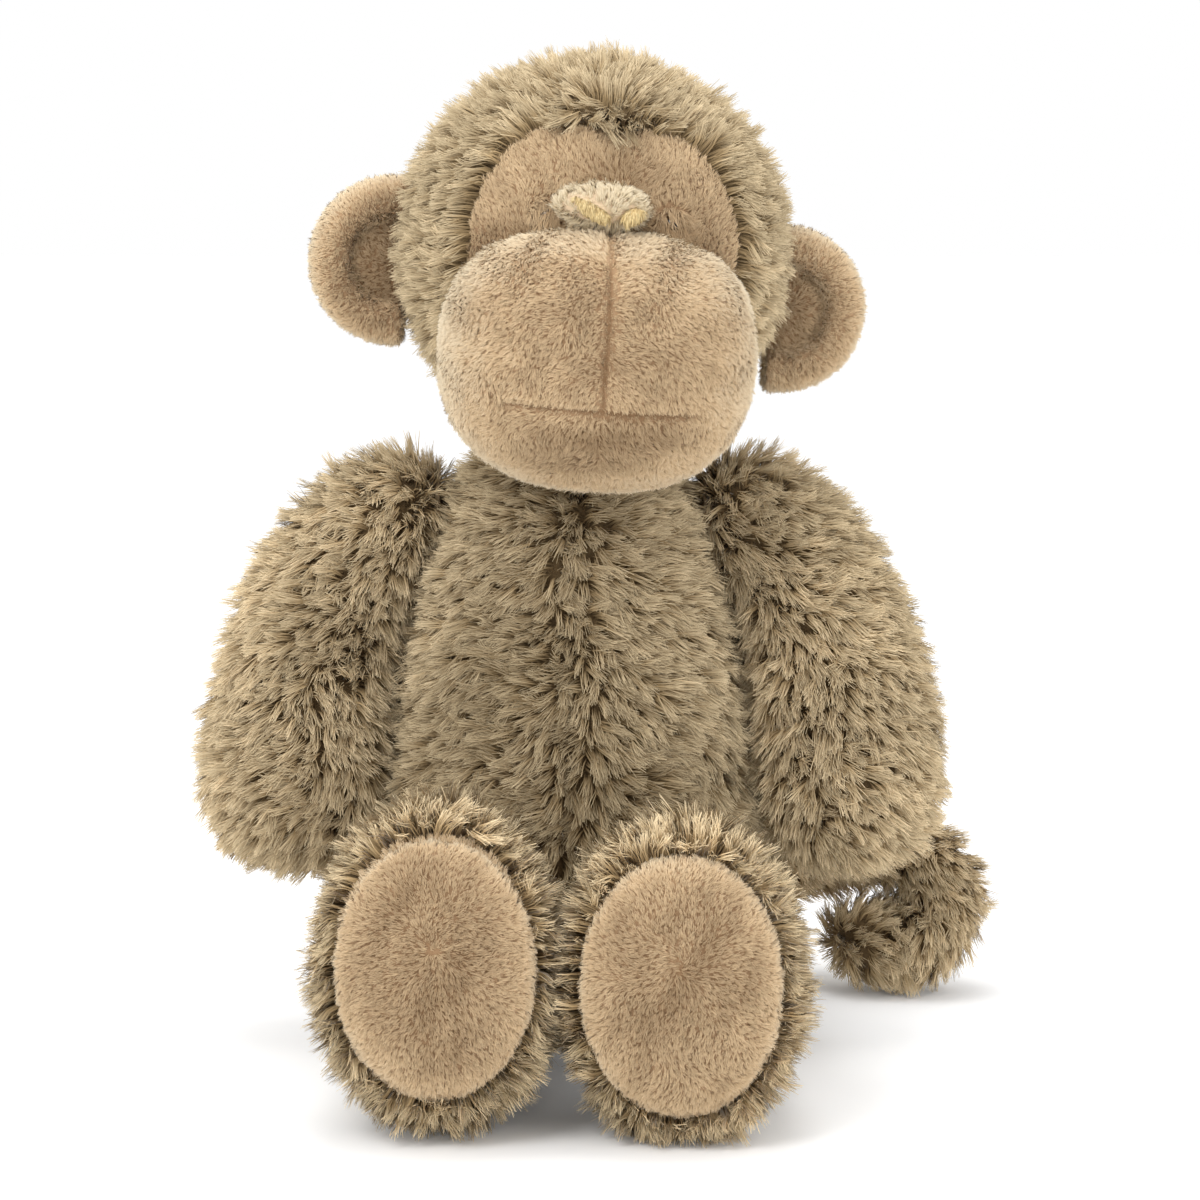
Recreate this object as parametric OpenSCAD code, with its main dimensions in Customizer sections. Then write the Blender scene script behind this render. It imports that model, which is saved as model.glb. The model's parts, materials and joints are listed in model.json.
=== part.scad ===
// Seated stuffed monkey: pile fabric panels sewn over fibre filling, with a pellet
// pouch in the seat. The monkey faces -Y, its own left side is +X, and the seat
// stands on z = 0. Every outer surface is the pile pressed flat by hand.

/* [Torso] */
// Half width of the torso at the hips
hip_half_w = 51; // [47:0.5:52]
// Half depth of the torso at the belly
belly_half_d = 43; // [38:0.5:44]
// Height of the torso, seat to neck
torso_h = 170; // [166:1:171]

/* [Head] */
// Radius of the head
head_r = 50; // [46:0.5:50]
// Half width of the muzzle
muzzle_half_w = 43; // [38:0.5:44]
// Half height of the muzzle
muzzle_half_h = 36.5; // [32:0.5:37]
// Half depth of the muzzle
muzzle_half_d = 36; // [32:0.5:38]
// Radius of an ear
ear_r = 23; // [20:0.5:24]
// Tilt of the head towards its left shoulder, in degrees
head_tilt = 4; // [0:0.5:6]
// Turn of the head to its left, in degrees
head_yaw = 5; // [0:0.5:6]
// Bow of the head, in degrees
head_bow = 4; // [0:0.5:6]

/* [Limbs] */
// Radius of the arm at the shoulder
shoulder_r = 17.5; // [15:0.5:18]
// Radius of the arm at the hand
hand_r = 23.5; // [20:0.5:24]
// Radius of the leg at the hip
thigh_r = 20; // [17:0.5:20]
// Half width of the foot
foot_half_w = 26; // [22:0.5:26.5]
// Half height of the foot
foot_half_h = 38; // [34:0.5:38]
// Radius of the tail
tail_r = 8; // [7:0.5:8.5]

/* [Fabric] */
// Thickness of the pile fabric when it is pressed flat
fabric_t = 3; // [2:0.25:3.5]
// Thickness of the pouch cloth
pouch_t = 0.8; // [0.5:0.1:1.2]
// Radius of the doubled sewing thread
thread_r = 0.7; // [0.5:0.05:0.8]

/* [Facets] */
// Facets round the torso and the head
turn_facets = 24; // [16:4:28]
// Facets round a limb
limb_facets = 16; // [12:4:20]

/* [Hidden] */

long_pile = "#9c8566";
short_pile = "#c9a37c";
filling = "#f2efe8";
thread = "#7d6a4f";
satin = "#cdb27a";

base_t = 3;

// Torso outline up from the seat panel: [z, half width, half depth, y of the centre]
torso_outline = [
    [base_t, 0.8 * hip_half_w, 0.72 * belly_half_d, 2],
    [10, 0.93 * hip_half_w, 0.82 * belly_half_d, 2],
    [30, hip_half_w, 0.9 * belly_half_d, 1],
    [56, hip_half_w - 1.5, 0.98 * belly_half_d, -1],
    [84, hip_half_w - 4.5, belly_half_d, -3],
    [108, hip_half_w - 8.5, 0.95 * belly_half_d, -3],
    [130, hip_half_w - 13.5, 0.86 * belly_half_d, -2],
    [150, hip_half_w - 19, 0.72 * belly_half_d, -1],
    [0.965 * torso_h, 20, 0.5 * belly_half_d, 0],
    [torso_h, 8, 8, 0]
];
torso_rings = 15;
pouch_z = 5;
pouch_h = 24;
pouch_r = 30;

neck = [1.5, -3, torso_h + 1.4];
head_rise = 52.8;
head_back = -5;
neck_ring_r = 12.5;

muzzle_centre = [0, -38, -24.5];
muzzle_fullness = 2.4;
muzzle_back_d = 22;
mouth_z = -11;
mask_polar = 45;
brow_rise = 7.5;
brow_dip = 9.5;
brow_dip_width = 20;
gusset_half_angle = 30;
head_polar_rings = 9;

eye_r = 2.3;
eye_sunk = 1.3;
eye_x = 17.2;
eye_z = 13;
shank_r = 1.5;
shank_l = 8;
washer_r = 5;
washer_t = 1.2;
shank_gap = 0.2;
fill_gap = 1.2;

ear_x = 55;
ear_y = 4;
// Height of each ear on the head: [left, right]
ear_z = [-13.4, -7];
ear_rim_r = 5.5;
ear_root = 3.3;
ear_front = 0.5;
ear_back = 4;
ear_seam = -1.5;
ear_fabric_t = 1.8;

nose_at = [-2.6, -48.5, 16.6];
nose_size = [12, 7, 5];
// Half length of each satin bar: [left, right]
nostril_half_l = [3.2, 6];
nostril_half_t = [2.2, 1.9];
nostrils_at = [0.7, -56, 13.8];
nostril_gap = 1.8;
nostril_slant = 24;
nostril_turn = 24;

shoulder = [52.9, 0, 147];
arm_path = [
    [35.4, 0, 147], [46.5, 0, 147], [59, -1, 138.5], [69, -2, 122], [75, -4, 101], [77.5, -7, 76],
    [75, -10, 52]
];
arm_radii = [
    shoulder_r, shoulder_r, shoulder_r + 0.5, shoulder_r + 2, hand_r - 2, hand_r, hand_r - 1
];
arm_rings = 13;
shoulder_ring_r = 12.2;
arm_end = 24;

hip = [33, -53, 21];
// Leg outline from the hip forward: [y, x, z, half width, half height]
leg_outline = [
    [hip[1], hip[0], hip[2], thigh_r, thigh_r],
    [-80, hip[0], hip[2] + 1, thigh_r + 0.5, thigh_r + 1],
    [-103, hip[0], 0.66 * foot_half_h + 3, foot_half_w - 3, 0.66 * foot_half_h],
    [-119, hip[0], foot_half_h + 1.5, foot_half_w - 0.5, foot_half_h - 1.5],
    [-132, hip[0], foot_half_h + 2, foot_half_w, foot_half_h],
    [-143, hip[0], foot_half_h + 4, foot_half_w, 0.88 * foot_half_h]
];
// Lift and splay of each leg as it is sewn on, in degrees: [left, right]
leg_lift = [0.5, 3.5];
leg_splay = [-3, 0.5];
leg_rings = 14;
sole_depth = 11;
sole_rings = 5;

tail_path = [
    [8, 39.6, 18], [14, 52.8, 20], [38, 62, 26], [66, 62, 37], [90, 56, 43], [107, 50, 38],
    [110.5, 46, 23], [101, 44, 14], [89, 45, 14], [83, 48, 24]
];
tail_rings = 22;
tail_ring_r = 6.2;
tail_hinge = [10.1, 47.3, 19];

// ---------------------------------------------------------------- functions

// Catmull-Rom curve through evenly spaced control values, t from 0 to 1
function spline(p0, p1, p2, p3, f) =
    0.5 * (2 * p1 + (p2 - p0) * f + (2 * p0 - 5 * p1 + 4 * p2 - p3) * f * f
        + (3 * p1 - p0 - 3 * p2 + p3) * f * f * f);
function along(list, t) =
    let (last = len(list) - 1, s = min(max(t, 0) * last, last - 1e-6), i = floor(s))
    spline(list[max(i - 1, 0)], list[i], list[i + 1], list[min(i + 2, last)], s - i);

function unit(v) = v / norm(v);

// Share of the full radius at distance s from a rounded end that is e long
function rounded(s, e, power = 2) = s >= e ? 1 : pow(1 - pow(1 - s / e, power), 1 / power);

// Stations from 0 to 1, closer together at both ends
function eased(i, n) = (1 - cos(180 * i / (n - 1))) / 2;

// Points of a grid: rows along the piece, columns from angle a0 to a1
function angles(a0, a1, n) = [for (i = [0:n]) a0 + (a1 - a0) * i / n];

// A point of the torso surface, g inside it
function torso_point(t, a, g) =
    let (o = along(torso_outline, t))
    [max(o[1] - g, 2) * sin(a), o[3] - max(o[2] - g, 2) * cos(a), o[0]];
function torso_grid(a0, a1, g) = [
    for (i = [0:torso_rings - 1])
        [for (a = angles(a0, a1, round((a1 - a0) / 360 * turn_facets)))
            torso_point(i / (torso_rings - 1), a, g)]
];

// A point of the head sphere at polar angle p from the face axis and azimuth a from the top
function head_point(p, a, r) = r * [sin(p) * sin(a), -cos(p), sin(p) * cos(a)];
function mask_edge(a) =
    let (d = a > 180 ? a - 360 : a)
    mask_polar + brow_rise * max(cos(d), 0) - brow_dip * exp(-pow(d / brow_dip_width, 2));
function head_grid(a0, a1, r) = [
    for (i = [0:head_polar_rings - 1])
        [for (a = angles(a0, a1, round((a1 - a0) / 360 * turn_facets)))
            let (p0 = mask_edge(a < 0 ? a + 360 : a))
            head_point(p0 + (178.5 - p0) * i / (head_polar_rings - 1), a, r)]
];
function mask_grid(r) = [
    for (i = [0:5])
        [for (a = angles(0, 360, turn_facets)) head_point(2 + (mask_edge(a) - 2) * i / 5, a, r)]
];

// A point of the muzzle, g inside it, at height z over its centre
function muzzle_point(z, a, g) =
    let (
        h = muzzle_half_h - g,
        zz = max(min(z, 0.995 * h), -0.995 * h),
        k = pow(1 - pow(abs(zz) / h, muzzle_fullness), 1 / muzzle_fullness),
        d = cos(a) > 0 ? muzzle_half_d : muzzle_back_d
    )
    muzzle_centre + [(muzzle_half_w - g) * k * sin(a), -(d - g) * k * cos(a), zz];
function muzzle_grid(z0, z1, a0, a1, g, rows) = [
    for (i = [0:rows])
        let (
            h = muzzle_half_h,
            lat0 = asin(max(z0 / h, -0.995)), lat1 = asin(min(z1 / h, 0.995)),
            z = h * sin(lat0 + (lat1 - lat0) * i / rows)
        )
        [for (a = angles(a0, a1, round((a1 - a0) / 360 * turn_facets))) muzzle_point(z, a, g)]
];

// Ring of a tube whose centre line is path, at share t; side 1 is the front half
function tube_tangent(path, t) = unit(along(path, t + 0.01) - along(path, max(t - 0.01, 0)));
function tube_point(path, t, r, a) =
    let (
        d = tube_tangent(path, min(t, 0.985)),
        s = unit(cross([0, -1, 0], d)),
        f = cross(d, s)
    )
    along(path, t) + r * (cos(a) * s + sin(a) * f);

// Share of the full radius at t of a tube with one rounded end e0 long and another e1 long
function ends(path, t, e0, e1, power = 2) =
    let (p = along(path, t))
    rounded(norm(p - path[0]), e0) * rounded(norm(p - path[len(path) - 1]), e1, power);

function arm_radius(t) = along(arm_radii, t) * ends(arm_path, t, shoulder_r, arm_end, 2.4);
function arm_grid(a0, a1, g) = [
    for (i = [0:arm_rings - 1])
        let (t = 0.004 + 0.992 * eased(i, arm_rings))
        [for (a = angles(a0, a1, round((a1 - a0) / 360 * limb_facets)))
            tube_point(arm_path, t, max(arm_radius(t) - g, 0.6), a)]
];

function tail_radius(t) = (tail_r + 0.8 * t) * ends(tail_path, t, tail_r, tail_r);
function tail_grid(a0, a1, g) = [
    for (i = [0:tail_rings - 1])
        let (t = 0.006 + 0.988 * i / (tail_rings - 1))
        [for (a = angles(a0, a1, round((a1 - a0) / 360 * 12)))
            tube_point(tail_path, t, max(tail_radius(t) - g, 0.6), a)]
];

// A ring of the leg: the rounded back of the thigh, then the outline
function leg_ring(o, a0, a1, g, share = 1) =
    [for (a = angles(a0, a1, round((a1 - a0) / 360 * limb_facets)))
        [o[1] + max((o[3] - g) * share, 0.5) * sin(a), o[0], o[2] + max((o[4] - g) * share, 0.5) * cos(a)]];
function leg_grid(a0, a1, g) = concat(
    [for (b = [88, 65, 42, 20])
        leg_ring([hip[1] + (thigh_r - g) * sin(b), hip[0], hip[2], thigh_r, thigh_r], a0, a1, g, cos(b))],
    [for (i = [0:leg_rings - 5]) leg_ring(along(leg_outline, i / (leg_rings - 5)), a0, a1, g)]
);
function sole_grid(g) =
    let (edge = leg_outline[len(leg_outline) - 1])
    [for (i = [0:sole_rings])
        let (b = 88 * i / sole_rings)
        leg_ring([edge[0] - (sole_depth - g) * sin(b), edge[1], edge[2], edge[3], edge[4]], 0, 360, g, cos(b))];

// ---------------------------------------------------------------- shapes

function grid_faces(rows, cols, at, flip) = [
    for (i = [0:rows - 2], j = [0:cols - 2])
        let (p = at + i * cols + j, q = p + 1, r = p + cols, s = r + 1)
        each flip ? [[p, r, q], [q, r, s]] : [[p, q, r], [q, s, r]]
];

// Closed panel of fabric between an outer and an inner grid of points
module panel(outer, inner) {
    rows = len(outer);
    cols = len(outer[0]);
    n = rows * cols;
    edge = concat(
        [for (j = [0:cols - 2]) [j, j + 1]],
        [for (i = [0:rows - 2]) [i * cols + cols - 1, (i + 1) * cols + cols - 1]],
        [for (j = [cols - 2:-1:0]) [(rows - 1) * cols + j + 1, (rows - 1) * cols + j]]
    );
    polyhedron(
        concat([for (row = outer) each row], [for (row = inner) each row]),
        concat(
            grid_faces(rows, cols, 0, true),
            grid_faces(rows, cols, n, false),
            [for (e = edge) each [[e[0], e[1], e[1] + n], [e[0], e[1] + n, e[0] + n]]],
            [for (i = [0:rows - 2])
                let (p = (i + 1) * cols, q = i * cols)
                each [[p, q, p + n], [q, q + n, p + n]]]
        )
    );
}

// Closed tube of fabric all the way round, such as a cap, from grids whose rows close on themselves
module shell(outer, inner) {
    rows = len(outer);
    cols = len(outer[0]) - 1;
    n = rows * cols;
    open = function (grid) [for (row = grid) each [for (j = [0:cols - 1]) row[j]]];
    wrap = function (at, flip) [
        for (i = [0:rows - 2], j = [0:cols - 1])
            let (p = at + i * cols + j, q = at + i * cols + (j + 1) % cols, r = p + cols, s = q + cols)
            each flip ? [[p, r, q], [q, r, s]] : [[p, q, r], [q, s, r]]
    ];
    rim = function (row, flip) [
        for (j = [0:cols - 1])
            let (p = row * cols + j, q = row * cols + (j + 1) % cols)
            each flip ? [[p, q, q + n], [p, q + n, p + n]] : [[q, p, p + n], [q, p + n, q + n]]
    ];
    polyhedron(
        concat(open(outer), open(inner)),
        concat(wrap(0, true), wrap(n, false), rim(0, true), rim(rows - 1, false))
    );
}

// Solid filling of a grid whose rows close on themselves
module filled(grid) {
    rows = len(grid);
    cols = len(grid[0]) - 1;
    polyhedron(
        concat(
            [for (row = grid) each [for (j = [0:cols - 1]) row[j]]],
            [for (row = [grid[0], grid[rows - 1]]) row[0] / 2 + row[cols / 2] / 2]
        ),
        concat(
            [for (i = [0:rows - 2], j = [0:cols - 1])
                let (p = i * cols + j, q = i * cols + (j + 1) % cols)
                each [[p, p + cols, q], [q, p + cols, q + cols]]],
            [for (j = [0:cols - 1]) [j, (j + 1) % cols, rows * cols]],
            [for (j = [0:cols - 1])
                [(rows - 1) * cols + (j + 1) % cols, (rows - 1) * cols + j, rows * cols + 1]]
        )
    );
}

module stitch_ring(r) {
    rotate_extrude($fn = 48) translate([r, 0]) circle(thread_r, $fn = 16);
}

module mirrored(side) {
    scale([side, 1, 1]) children();
}

// ---------------------------------------------------------------- torso

module torso_panel(a0, a1) {
    color(long_pile) panel(torso_grid(a0, a1, 0), torso_grid(a0, a1, fabric_t));
}

module torso_base() {
    color(long_pile)
        linear_extrude(base_t)
            polygon([for (a = angles(0, 360, turn_facets)) if (a < 360)
                let (p = torso_point(0, a, 0)) [p[0], p[1]]]);
}

module pouch_form(g) {
    translate([0, 2, pouch_z + g])
        rotate_extrude($fn = 48)
            polygon([
                [0, 0], [pouch_r - 6 - g, 0], [pouch_r - g, 7],
                [pouch_r - g, pouch_h - 2 * g - 8], [pouch_r - 9 - g, pouch_h - 2 * g], [0, pouch_h - 2 * g]
            ]);
}

module torso_stuffing() {
    color(filling)
        difference() {
            filled(torso_grid(0, 360, fabric_t));
            pouch_form(0);
        }
}

module seat_pouch() {
    color(filling)
        difference() {
            pouch_form(0);
            pouch_form(pouch_t);
        }
}

module seat_pellets() {
    color("#d8d4cc") pouch_form(pouch_t);
}

module neck_stitching() {
    color(thread) translate([neck[0], neck[1], neck[2]]) stitch_ring(neck_ring_r);
}

// ---------------------------------------------------------------- head

module on_head() {
    translate(neck)
        rotate([head_bow, head_tilt, head_yaw])
            translate([0, head_back, head_rise])
                children();
}

module head_panel(a0, a1) {
    color(long_pile)
        on_head() panel(head_grid(a0, a1, head_r), head_grid(a0, a1, head_r - fabric_t));
}

module eye_place(side) {
    y = sqrt(head_r * head_r - eye_x * eye_x - eye_z * eye_z);
    translate([side * eye_x, -y, eye_z])
        rotate([90 + asin(-eye_z / head_r), 0, side * atan(eye_x / y)])
            children();
}

module face_mask() {
    color(short_pile)
        on_head()
            difference() {
                shell(mask_grid(head_r), mask_grid(head_r - fabric_t));
                for (side = [-1, 1])
                    eye_place(side) translate([0, 0, -10]) cylinder(r = shank_r + shank_gap, h = 20, $fn = 32);
            }
}

module eye(side) {
    color("#1a1410")
        on_head()
            eye_place(side) {
                translate([0, 0, 0.2])
                    intersection() {
                        translate([0, 0, -eye_sunk]) sphere(eye_r, $fn = 48);
                        cylinder(r = eye_r + 1, h = eye_r + 1, $fn = 48);
                    }
                translate([0, 0, -shank_l]) cylinder(r = shank_r, h = shank_l + 0.4, $fn = 32);
            }
}

module eye_washer(side) {
    color("#e8e4da")
        on_head()
            eye_place(side)
                translate([0, 0, -fabric_t - washer_t - 0.6])
                    difference() {
                        cylinder(r = washer_r, h = washer_t, $fn = 48);
                        translate([0, 0, -1]) cylinder(r = shank_r + 0.05, h = washer_t + 2, $fn = 32);
                    }
}

module head_stuffing() {
    color(filling)
        on_head()
            difference() {
                sphere(head_r - fabric_t - fill_gap, $fn = 96);
                for (side = [-1, 1])
                    eye_place(side)
                        translate([0, 0, -shank_l - 1]) cylinder(r = washer_r + 0.3, h = 12, $fn = 48);
            }
}

module muzzle_panel(z0, z1, a0, a1, rows) {
    color(short_pile)
        on_head()
            difference() {
                panel(muzzle_grid(z0, z1, a0, a1, 0, rows), muzzle_grid(z0, z1, a0, a1, fabric_t, rows));
                sphere(head_r + 0.05, $fn = 96);
            }
}

module muzzle_lower() {
    color(short_pile)
        on_head()
            difference() {
                shell(
                    muzzle_grid(-muzzle_half_h, mouth_z, 0, 360, 0, 4),
                    muzzle_grid(-muzzle_half_h, mouth_z, 0, 360, fabric_t, 4)
                );
                sphere(head_r + 0.05, $fn = 96);
            }
}

module muzzle_stuffing() {
    color(filling)
        on_head()
            difference() {
                filled(muzzle_grid(-muzzle_half_h, muzzle_half_h, 0, 360, fabric_t + fill_gap, 9));
                sphere(head_r + 0.05, $fn = 96);
            }
}

module nose_patch() {
    color(short_pile)
        on_head()
            difference() {
                translate(nose_at) scale(nose_size) sphere(1, $fn = 48);
                sphere(head_r + 0.05, $fn = 96);
            }
}

// The satin stitches run through the nose patch, so a nostril overlaps it
module nostril(side) {
    half_l = nostril_half_l[side > 0 ? 0 : 1];
    color(satin)
        on_head()
            translate(nostrils_at)
                mirrored(side)
                    translate([nostril_gap, 0, 0])
                        rotate([0, -nostril_slant, nostril_turn])
                            translate([half_l, 0, 0])
                                scale([half_l, nostril_half_t[0], nostril_half_t[1]])
                                    sphere(1, $fn = 48);
}

// ---------------------------------------------------------------- ears

module ear_profile(g) {
    translate([ear_r - ear_rim_r, 0]) circle(ear_rim_r - g, $fn = 48);
    translate([0, -ear_back + g]) square([ear_r - ear_rim_r, ear_back + ear_front - 2 * g]);
}

// Stands the ear on the side of the head: its profile's upper side faces forward
module ear_place(side) {
    on_head()
        mirrored(side)
            translate([ear_x, ear_y, ear_z[side > 0 ? 0 : 1]])
                rotate([90, 0, 0])
                    rotate([0, 0, -90])
                        children();
}

// Half a disc with its profile all round, and a straight root towards the head
module ear_form(side) {
    ear_place(side) {
        rotate_extrude(angle = 180, $fn = 64) children();
        rotate([90, 0, 0])
            linear_extrude(ear_root)
                union() {
                    children();
                    mirror([1, 0]) children();
                }
    }
}

module ear_panel(side, front) {
    color(front ? short_pile : "#b79670")
        ear_form(side)
            intersection() {
                difference() {
                    ear_profile(0);
                    ear_profile(ear_fabric_t);
                }
                translate([0, front ? ear_seam : ear_seam - 20]) square([40, 20]);
            }
}

module ear_wadding(side) {
    color(filling) ear_form(side) ear_profile(ear_fabric_t);
}

// ---------------------------------------------------------------- limbs

module shoulder_stitching(side) {
    color(thread)
        mirrored(side)
            translate([shoulder[0] - shoulder_r + 2.4, shoulder[1], shoulder[2]])
                rotate([0, 90, 0])
                    stitch_ring(shoulder_ring_r);
}

module arm_panel(side, a0, a1) {
    color(long_pile) mirrored(side) panel(arm_grid(a0, a1, 0), arm_grid(a0, a1, fabric_t));
}

module arm_stuffing(side) {
    color(filling) mirrored(side) filled(arm_grid(0, 360, fabric_t));
}

module hip_stitching(side) {
    color(thread)
        mirrored(side)
            translate([hip[0], hip[1] + thigh_r - 2, hip[2]])
                rotate([90, 0, 0])
                    stitch_ring(12);
}

module leg_place(side) {
    i = side > 0 ? 0 : 1;
    mirrored(side)
        translate(hip)
            rotate([-leg_lift[i], 0, leg_splay[i]])
                translate(-hip)
                    children();
}

module leg_panel(side, a0, a1) {
    color(long_pile) leg_place(side) panel(leg_grid(a0, a1, 0), leg_grid(a0, a1, fabric_t));
}

module leg_stuffing(side) {
    color(filling)
        leg_place(side)
            filled(concat(leg_grid(0, 360, fabric_t), [for (i = [1:sole_rings]) sole_grid(fabric_t)[i]]));
}

module sole(side) {
    color(short_pile) leg_place(side) shell(sole_grid(0), sole_grid(fabric_t));
}

module tail_stitching() {
    color(thread)
        translate([tail_hinge[0], tail_hinge[1] - tail_r + 1.4, tail_hinge[2]])
            rotate([90, 0, 0])
                stitch_ring(tail_ring_r);
}

module tail_panel(a0, a1) {
    color(long_pile) panel(tail_grid(a0, a1, 0), tail_grid(a0, a1, fabric_t));
}

module tail_stuffing() {
    color(filling) filled(tail_grid(0, 360, fabric_t));
}

// ---------------------------------------------------------------- nodes

torso_panel(0, 90);  // torso_front_left
torso_panel(270, 360);  // torso_front_right
torso_panel(90, 180);  // torso_back_left
torso_panel(180, 270);  // torso_back_right
torso_base();
torso_stuffing();
seat_pouch();
seat_pellets();
neck_stitching();
head_panel(gusset_half_angle, 180);  // head_left
head_panel(180, 360 - gusset_half_angle);  // head_right
head_panel(-gusset_half_angle, gusset_half_angle);  // head_gusset
head_stuffing();
face_mask();
muzzle_panel(mouth_z, muzzle_half_h, 0, 180, 6);  // muzzle_upper_left
muzzle_panel(mouth_z, muzzle_half_h, 180, 360, 6);  // muzzle_upper_right
muzzle_lower();
muzzle_stuffing();
nose_patch();
nostril(1);  // nostril_left
nostril(-1);  // nostril_right
eye(1);  // eye_left
eye(-1);  // eye_right
eye_washer(1);  // eye_washer_left
eye_washer(-1);  // eye_washer_right
ear_panel(1, true);  // ear_left_front
ear_panel(1, false);  // ear_left_back
ear_wadding(1);  // ear_left_wadding
ear_panel(-1, true);  // ear_right_front
ear_panel(-1, false);  // ear_right_back
ear_wadding(-1);  // ear_right_wadding
shoulder_stitching(1);  // shoulder_left_stitching
arm_panel(1, 0, 180);  // arm_left_front
arm_panel(1, 180, 360);  // arm_left_back
arm_stuffing(1);  // arm_left_stuffing
shoulder_stitching(-1);  // shoulder_right_stitching
arm_panel(-1, 0, 180);  // arm_right_front
arm_panel(-1, 180, 360);  // arm_right_back
arm_stuffing(-1);  // arm_right_stuffing
hip_stitching(1);  // hip_left_stitching
leg_panel(1, 180, 360);  // leg_left_inner
leg_panel(1, 0, 180);  // leg_left_outer
leg_stuffing(1);  // leg_left_stuffing
sole(1);  // sole_left
hip_stitching(-1);  // hip_right_stitching
leg_panel(-1, 180, 360);  // leg_right_inner
leg_panel(-1, 0, 180);  // leg_right_outer
leg_stuffing(-1);  // leg_right_stuffing
sole(-1);  // sole_right
tail_stitching();
tail_panel(0, 180);  // tail_upper
tail_panel(180, 360);  // tail_under
tail_stuffing();
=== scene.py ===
"""Looks of the seated stuffed monkey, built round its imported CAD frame.

Every soft part gets one closed cover: the CAD panels of a part are joined, remeshed and smoothed, and
then run as cloth under pressure that is held along its seams. The cloth moves most covers by less than
0.2 mm, so their padded shapes come from the CAD forms and from the seams pressed in afterwards. Pile
grows on the covers as real strands, one piece for each CAD panel. The monkey faces -Y and its own left
side is +X.
"""
import json
import math

import bmesh
import bpy
import numpy as np
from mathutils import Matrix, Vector
from mathutils.bvhtree import BVHTree


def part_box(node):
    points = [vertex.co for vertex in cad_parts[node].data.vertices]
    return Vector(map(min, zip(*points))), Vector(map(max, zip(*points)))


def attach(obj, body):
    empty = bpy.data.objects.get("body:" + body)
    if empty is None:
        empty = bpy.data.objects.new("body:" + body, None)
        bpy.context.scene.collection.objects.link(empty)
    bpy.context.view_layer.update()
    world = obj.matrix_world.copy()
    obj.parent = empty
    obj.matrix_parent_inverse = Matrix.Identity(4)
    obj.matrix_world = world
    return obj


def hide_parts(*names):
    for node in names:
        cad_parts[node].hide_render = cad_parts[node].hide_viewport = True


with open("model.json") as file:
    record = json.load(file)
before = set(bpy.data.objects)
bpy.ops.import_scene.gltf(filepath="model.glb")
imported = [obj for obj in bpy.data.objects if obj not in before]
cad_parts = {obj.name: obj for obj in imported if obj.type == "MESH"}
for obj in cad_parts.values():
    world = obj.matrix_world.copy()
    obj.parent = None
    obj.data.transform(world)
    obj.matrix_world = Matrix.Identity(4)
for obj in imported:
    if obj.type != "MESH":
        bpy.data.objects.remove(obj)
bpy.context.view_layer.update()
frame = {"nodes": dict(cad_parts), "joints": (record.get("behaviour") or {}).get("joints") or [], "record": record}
nodes = frame["nodes"]
scene = bpy.context.scene

MM = 0.001
FLOOR_GAP = 0.4 * MM
CLOTH_FRAMES = 20
FRONT = np.array([0.0, -1.0, 0.0])
TORSO_PANELS = [f"torso_{face}_{side}" for face in ("front", "back") for side in ("left", "right")]
ARM_PANELS = [f"arm_{side}_{face}" for side in ("left", "right") for face in ("front", "back")]
LEG_PANELS = [f"leg_{side}_{half}" for side in ("left", "right") for half in ("inner", "outer")]


# ------------------------------------------------------------------ places from the frame

def centre(node):
    low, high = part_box(node)
    return np.array((low + high) / 2)


def joint(name):
    return next(j for j in frame["joints"] if j["name"] == name)


head_centre = centre("head_stuffing")
head_up = np.array(joint("ear_left_fold")["axis"], float)
head_left = centre("ear_left_back") - centre("ear_right_back")
head_left -= head_up * (head_left @ head_up)
head_left /= np.linalg.norm(head_left)
head_front = np.cross(head_left, head_up)


def unit(v):
    return v / np.maximum(np.linalg.norm(v, axis=-1, keepdims=True), 1e-9)


def coordinates(mesh):
    co = np.empty(len(mesh.vertices) * 3, np.float32)
    mesh.vertices.foreach_get("co", co)
    return co.reshape(-1, 3).astype(float)


def in_head(p):
    """Points as (to its left, forward, up) from the middle of the head, in metres."""
    q = p - head_centre
    return np.stack([q @ head_left, q @ head_front, q @ head_up], -1)


def from_head(v):
    """A direction or a set of them, given as (to its left, forward, up) of the head."""
    v = np.asarray(v, float)
    return v[..., 0:1] * head_left + v[..., 1:2] * head_front + v[..., 2:3] * head_up


def box_in_head(node):
    q = in_head(coordinates(nodes[node].data))
    return q.min(0), q.max(0)


head_r = box_in_head("head_left")[1][0]
mouth_z = box_in_head("muzzle_lower")[1][2]
nostril_z = np.mean(box_in_head("nostril_left"), 0)[2]
sole_seam_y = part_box("sole_left")[1].y + 1.5 * MM
hip_y = joint("leg_left_swing")["pos_m"][1]
torso_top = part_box("torso_stuffing")[1].z
arm_root_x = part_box("shoulder_left_stitching")[1].x
tail_low, tail_high = [np.array(corner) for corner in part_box("tail_stuffing")]


def smooth_noise(p, size, seed):
    """A smooth random field from -1 to 1 whose patches are about size across."""
    rng = np.random.default_rng(seed)
    total = np.zeros(len(p))
    for _ in range(6):
        direction = rng.normal(size=3)
        direction *= 2 * math.pi / size / np.linalg.norm(direction) * rng.uniform(0.5, 1.2)
        total += np.sin(p @ direction + rng.uniform(0, 2 * math.pi))
    return np.clip(total / 3, -1, 1)


# ------------------------------------------------------------------ meshes

def mesh_object(name, verts, faces):
    mesh = bpy.data.meshes.new(name)
    mesh.from_pydata([tuple(v) for v in verts], [], faces)
    mesh.update()
    obj = bpy.data.objects.new(name, mesh)
    scene.collection.objects.link(obj)
    return obj


def set_coordinates(mesh, co):
    mesh.vertices.foreach_set("co", np.asarray(co, np.float32).ravel())
    mesh.update()


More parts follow.
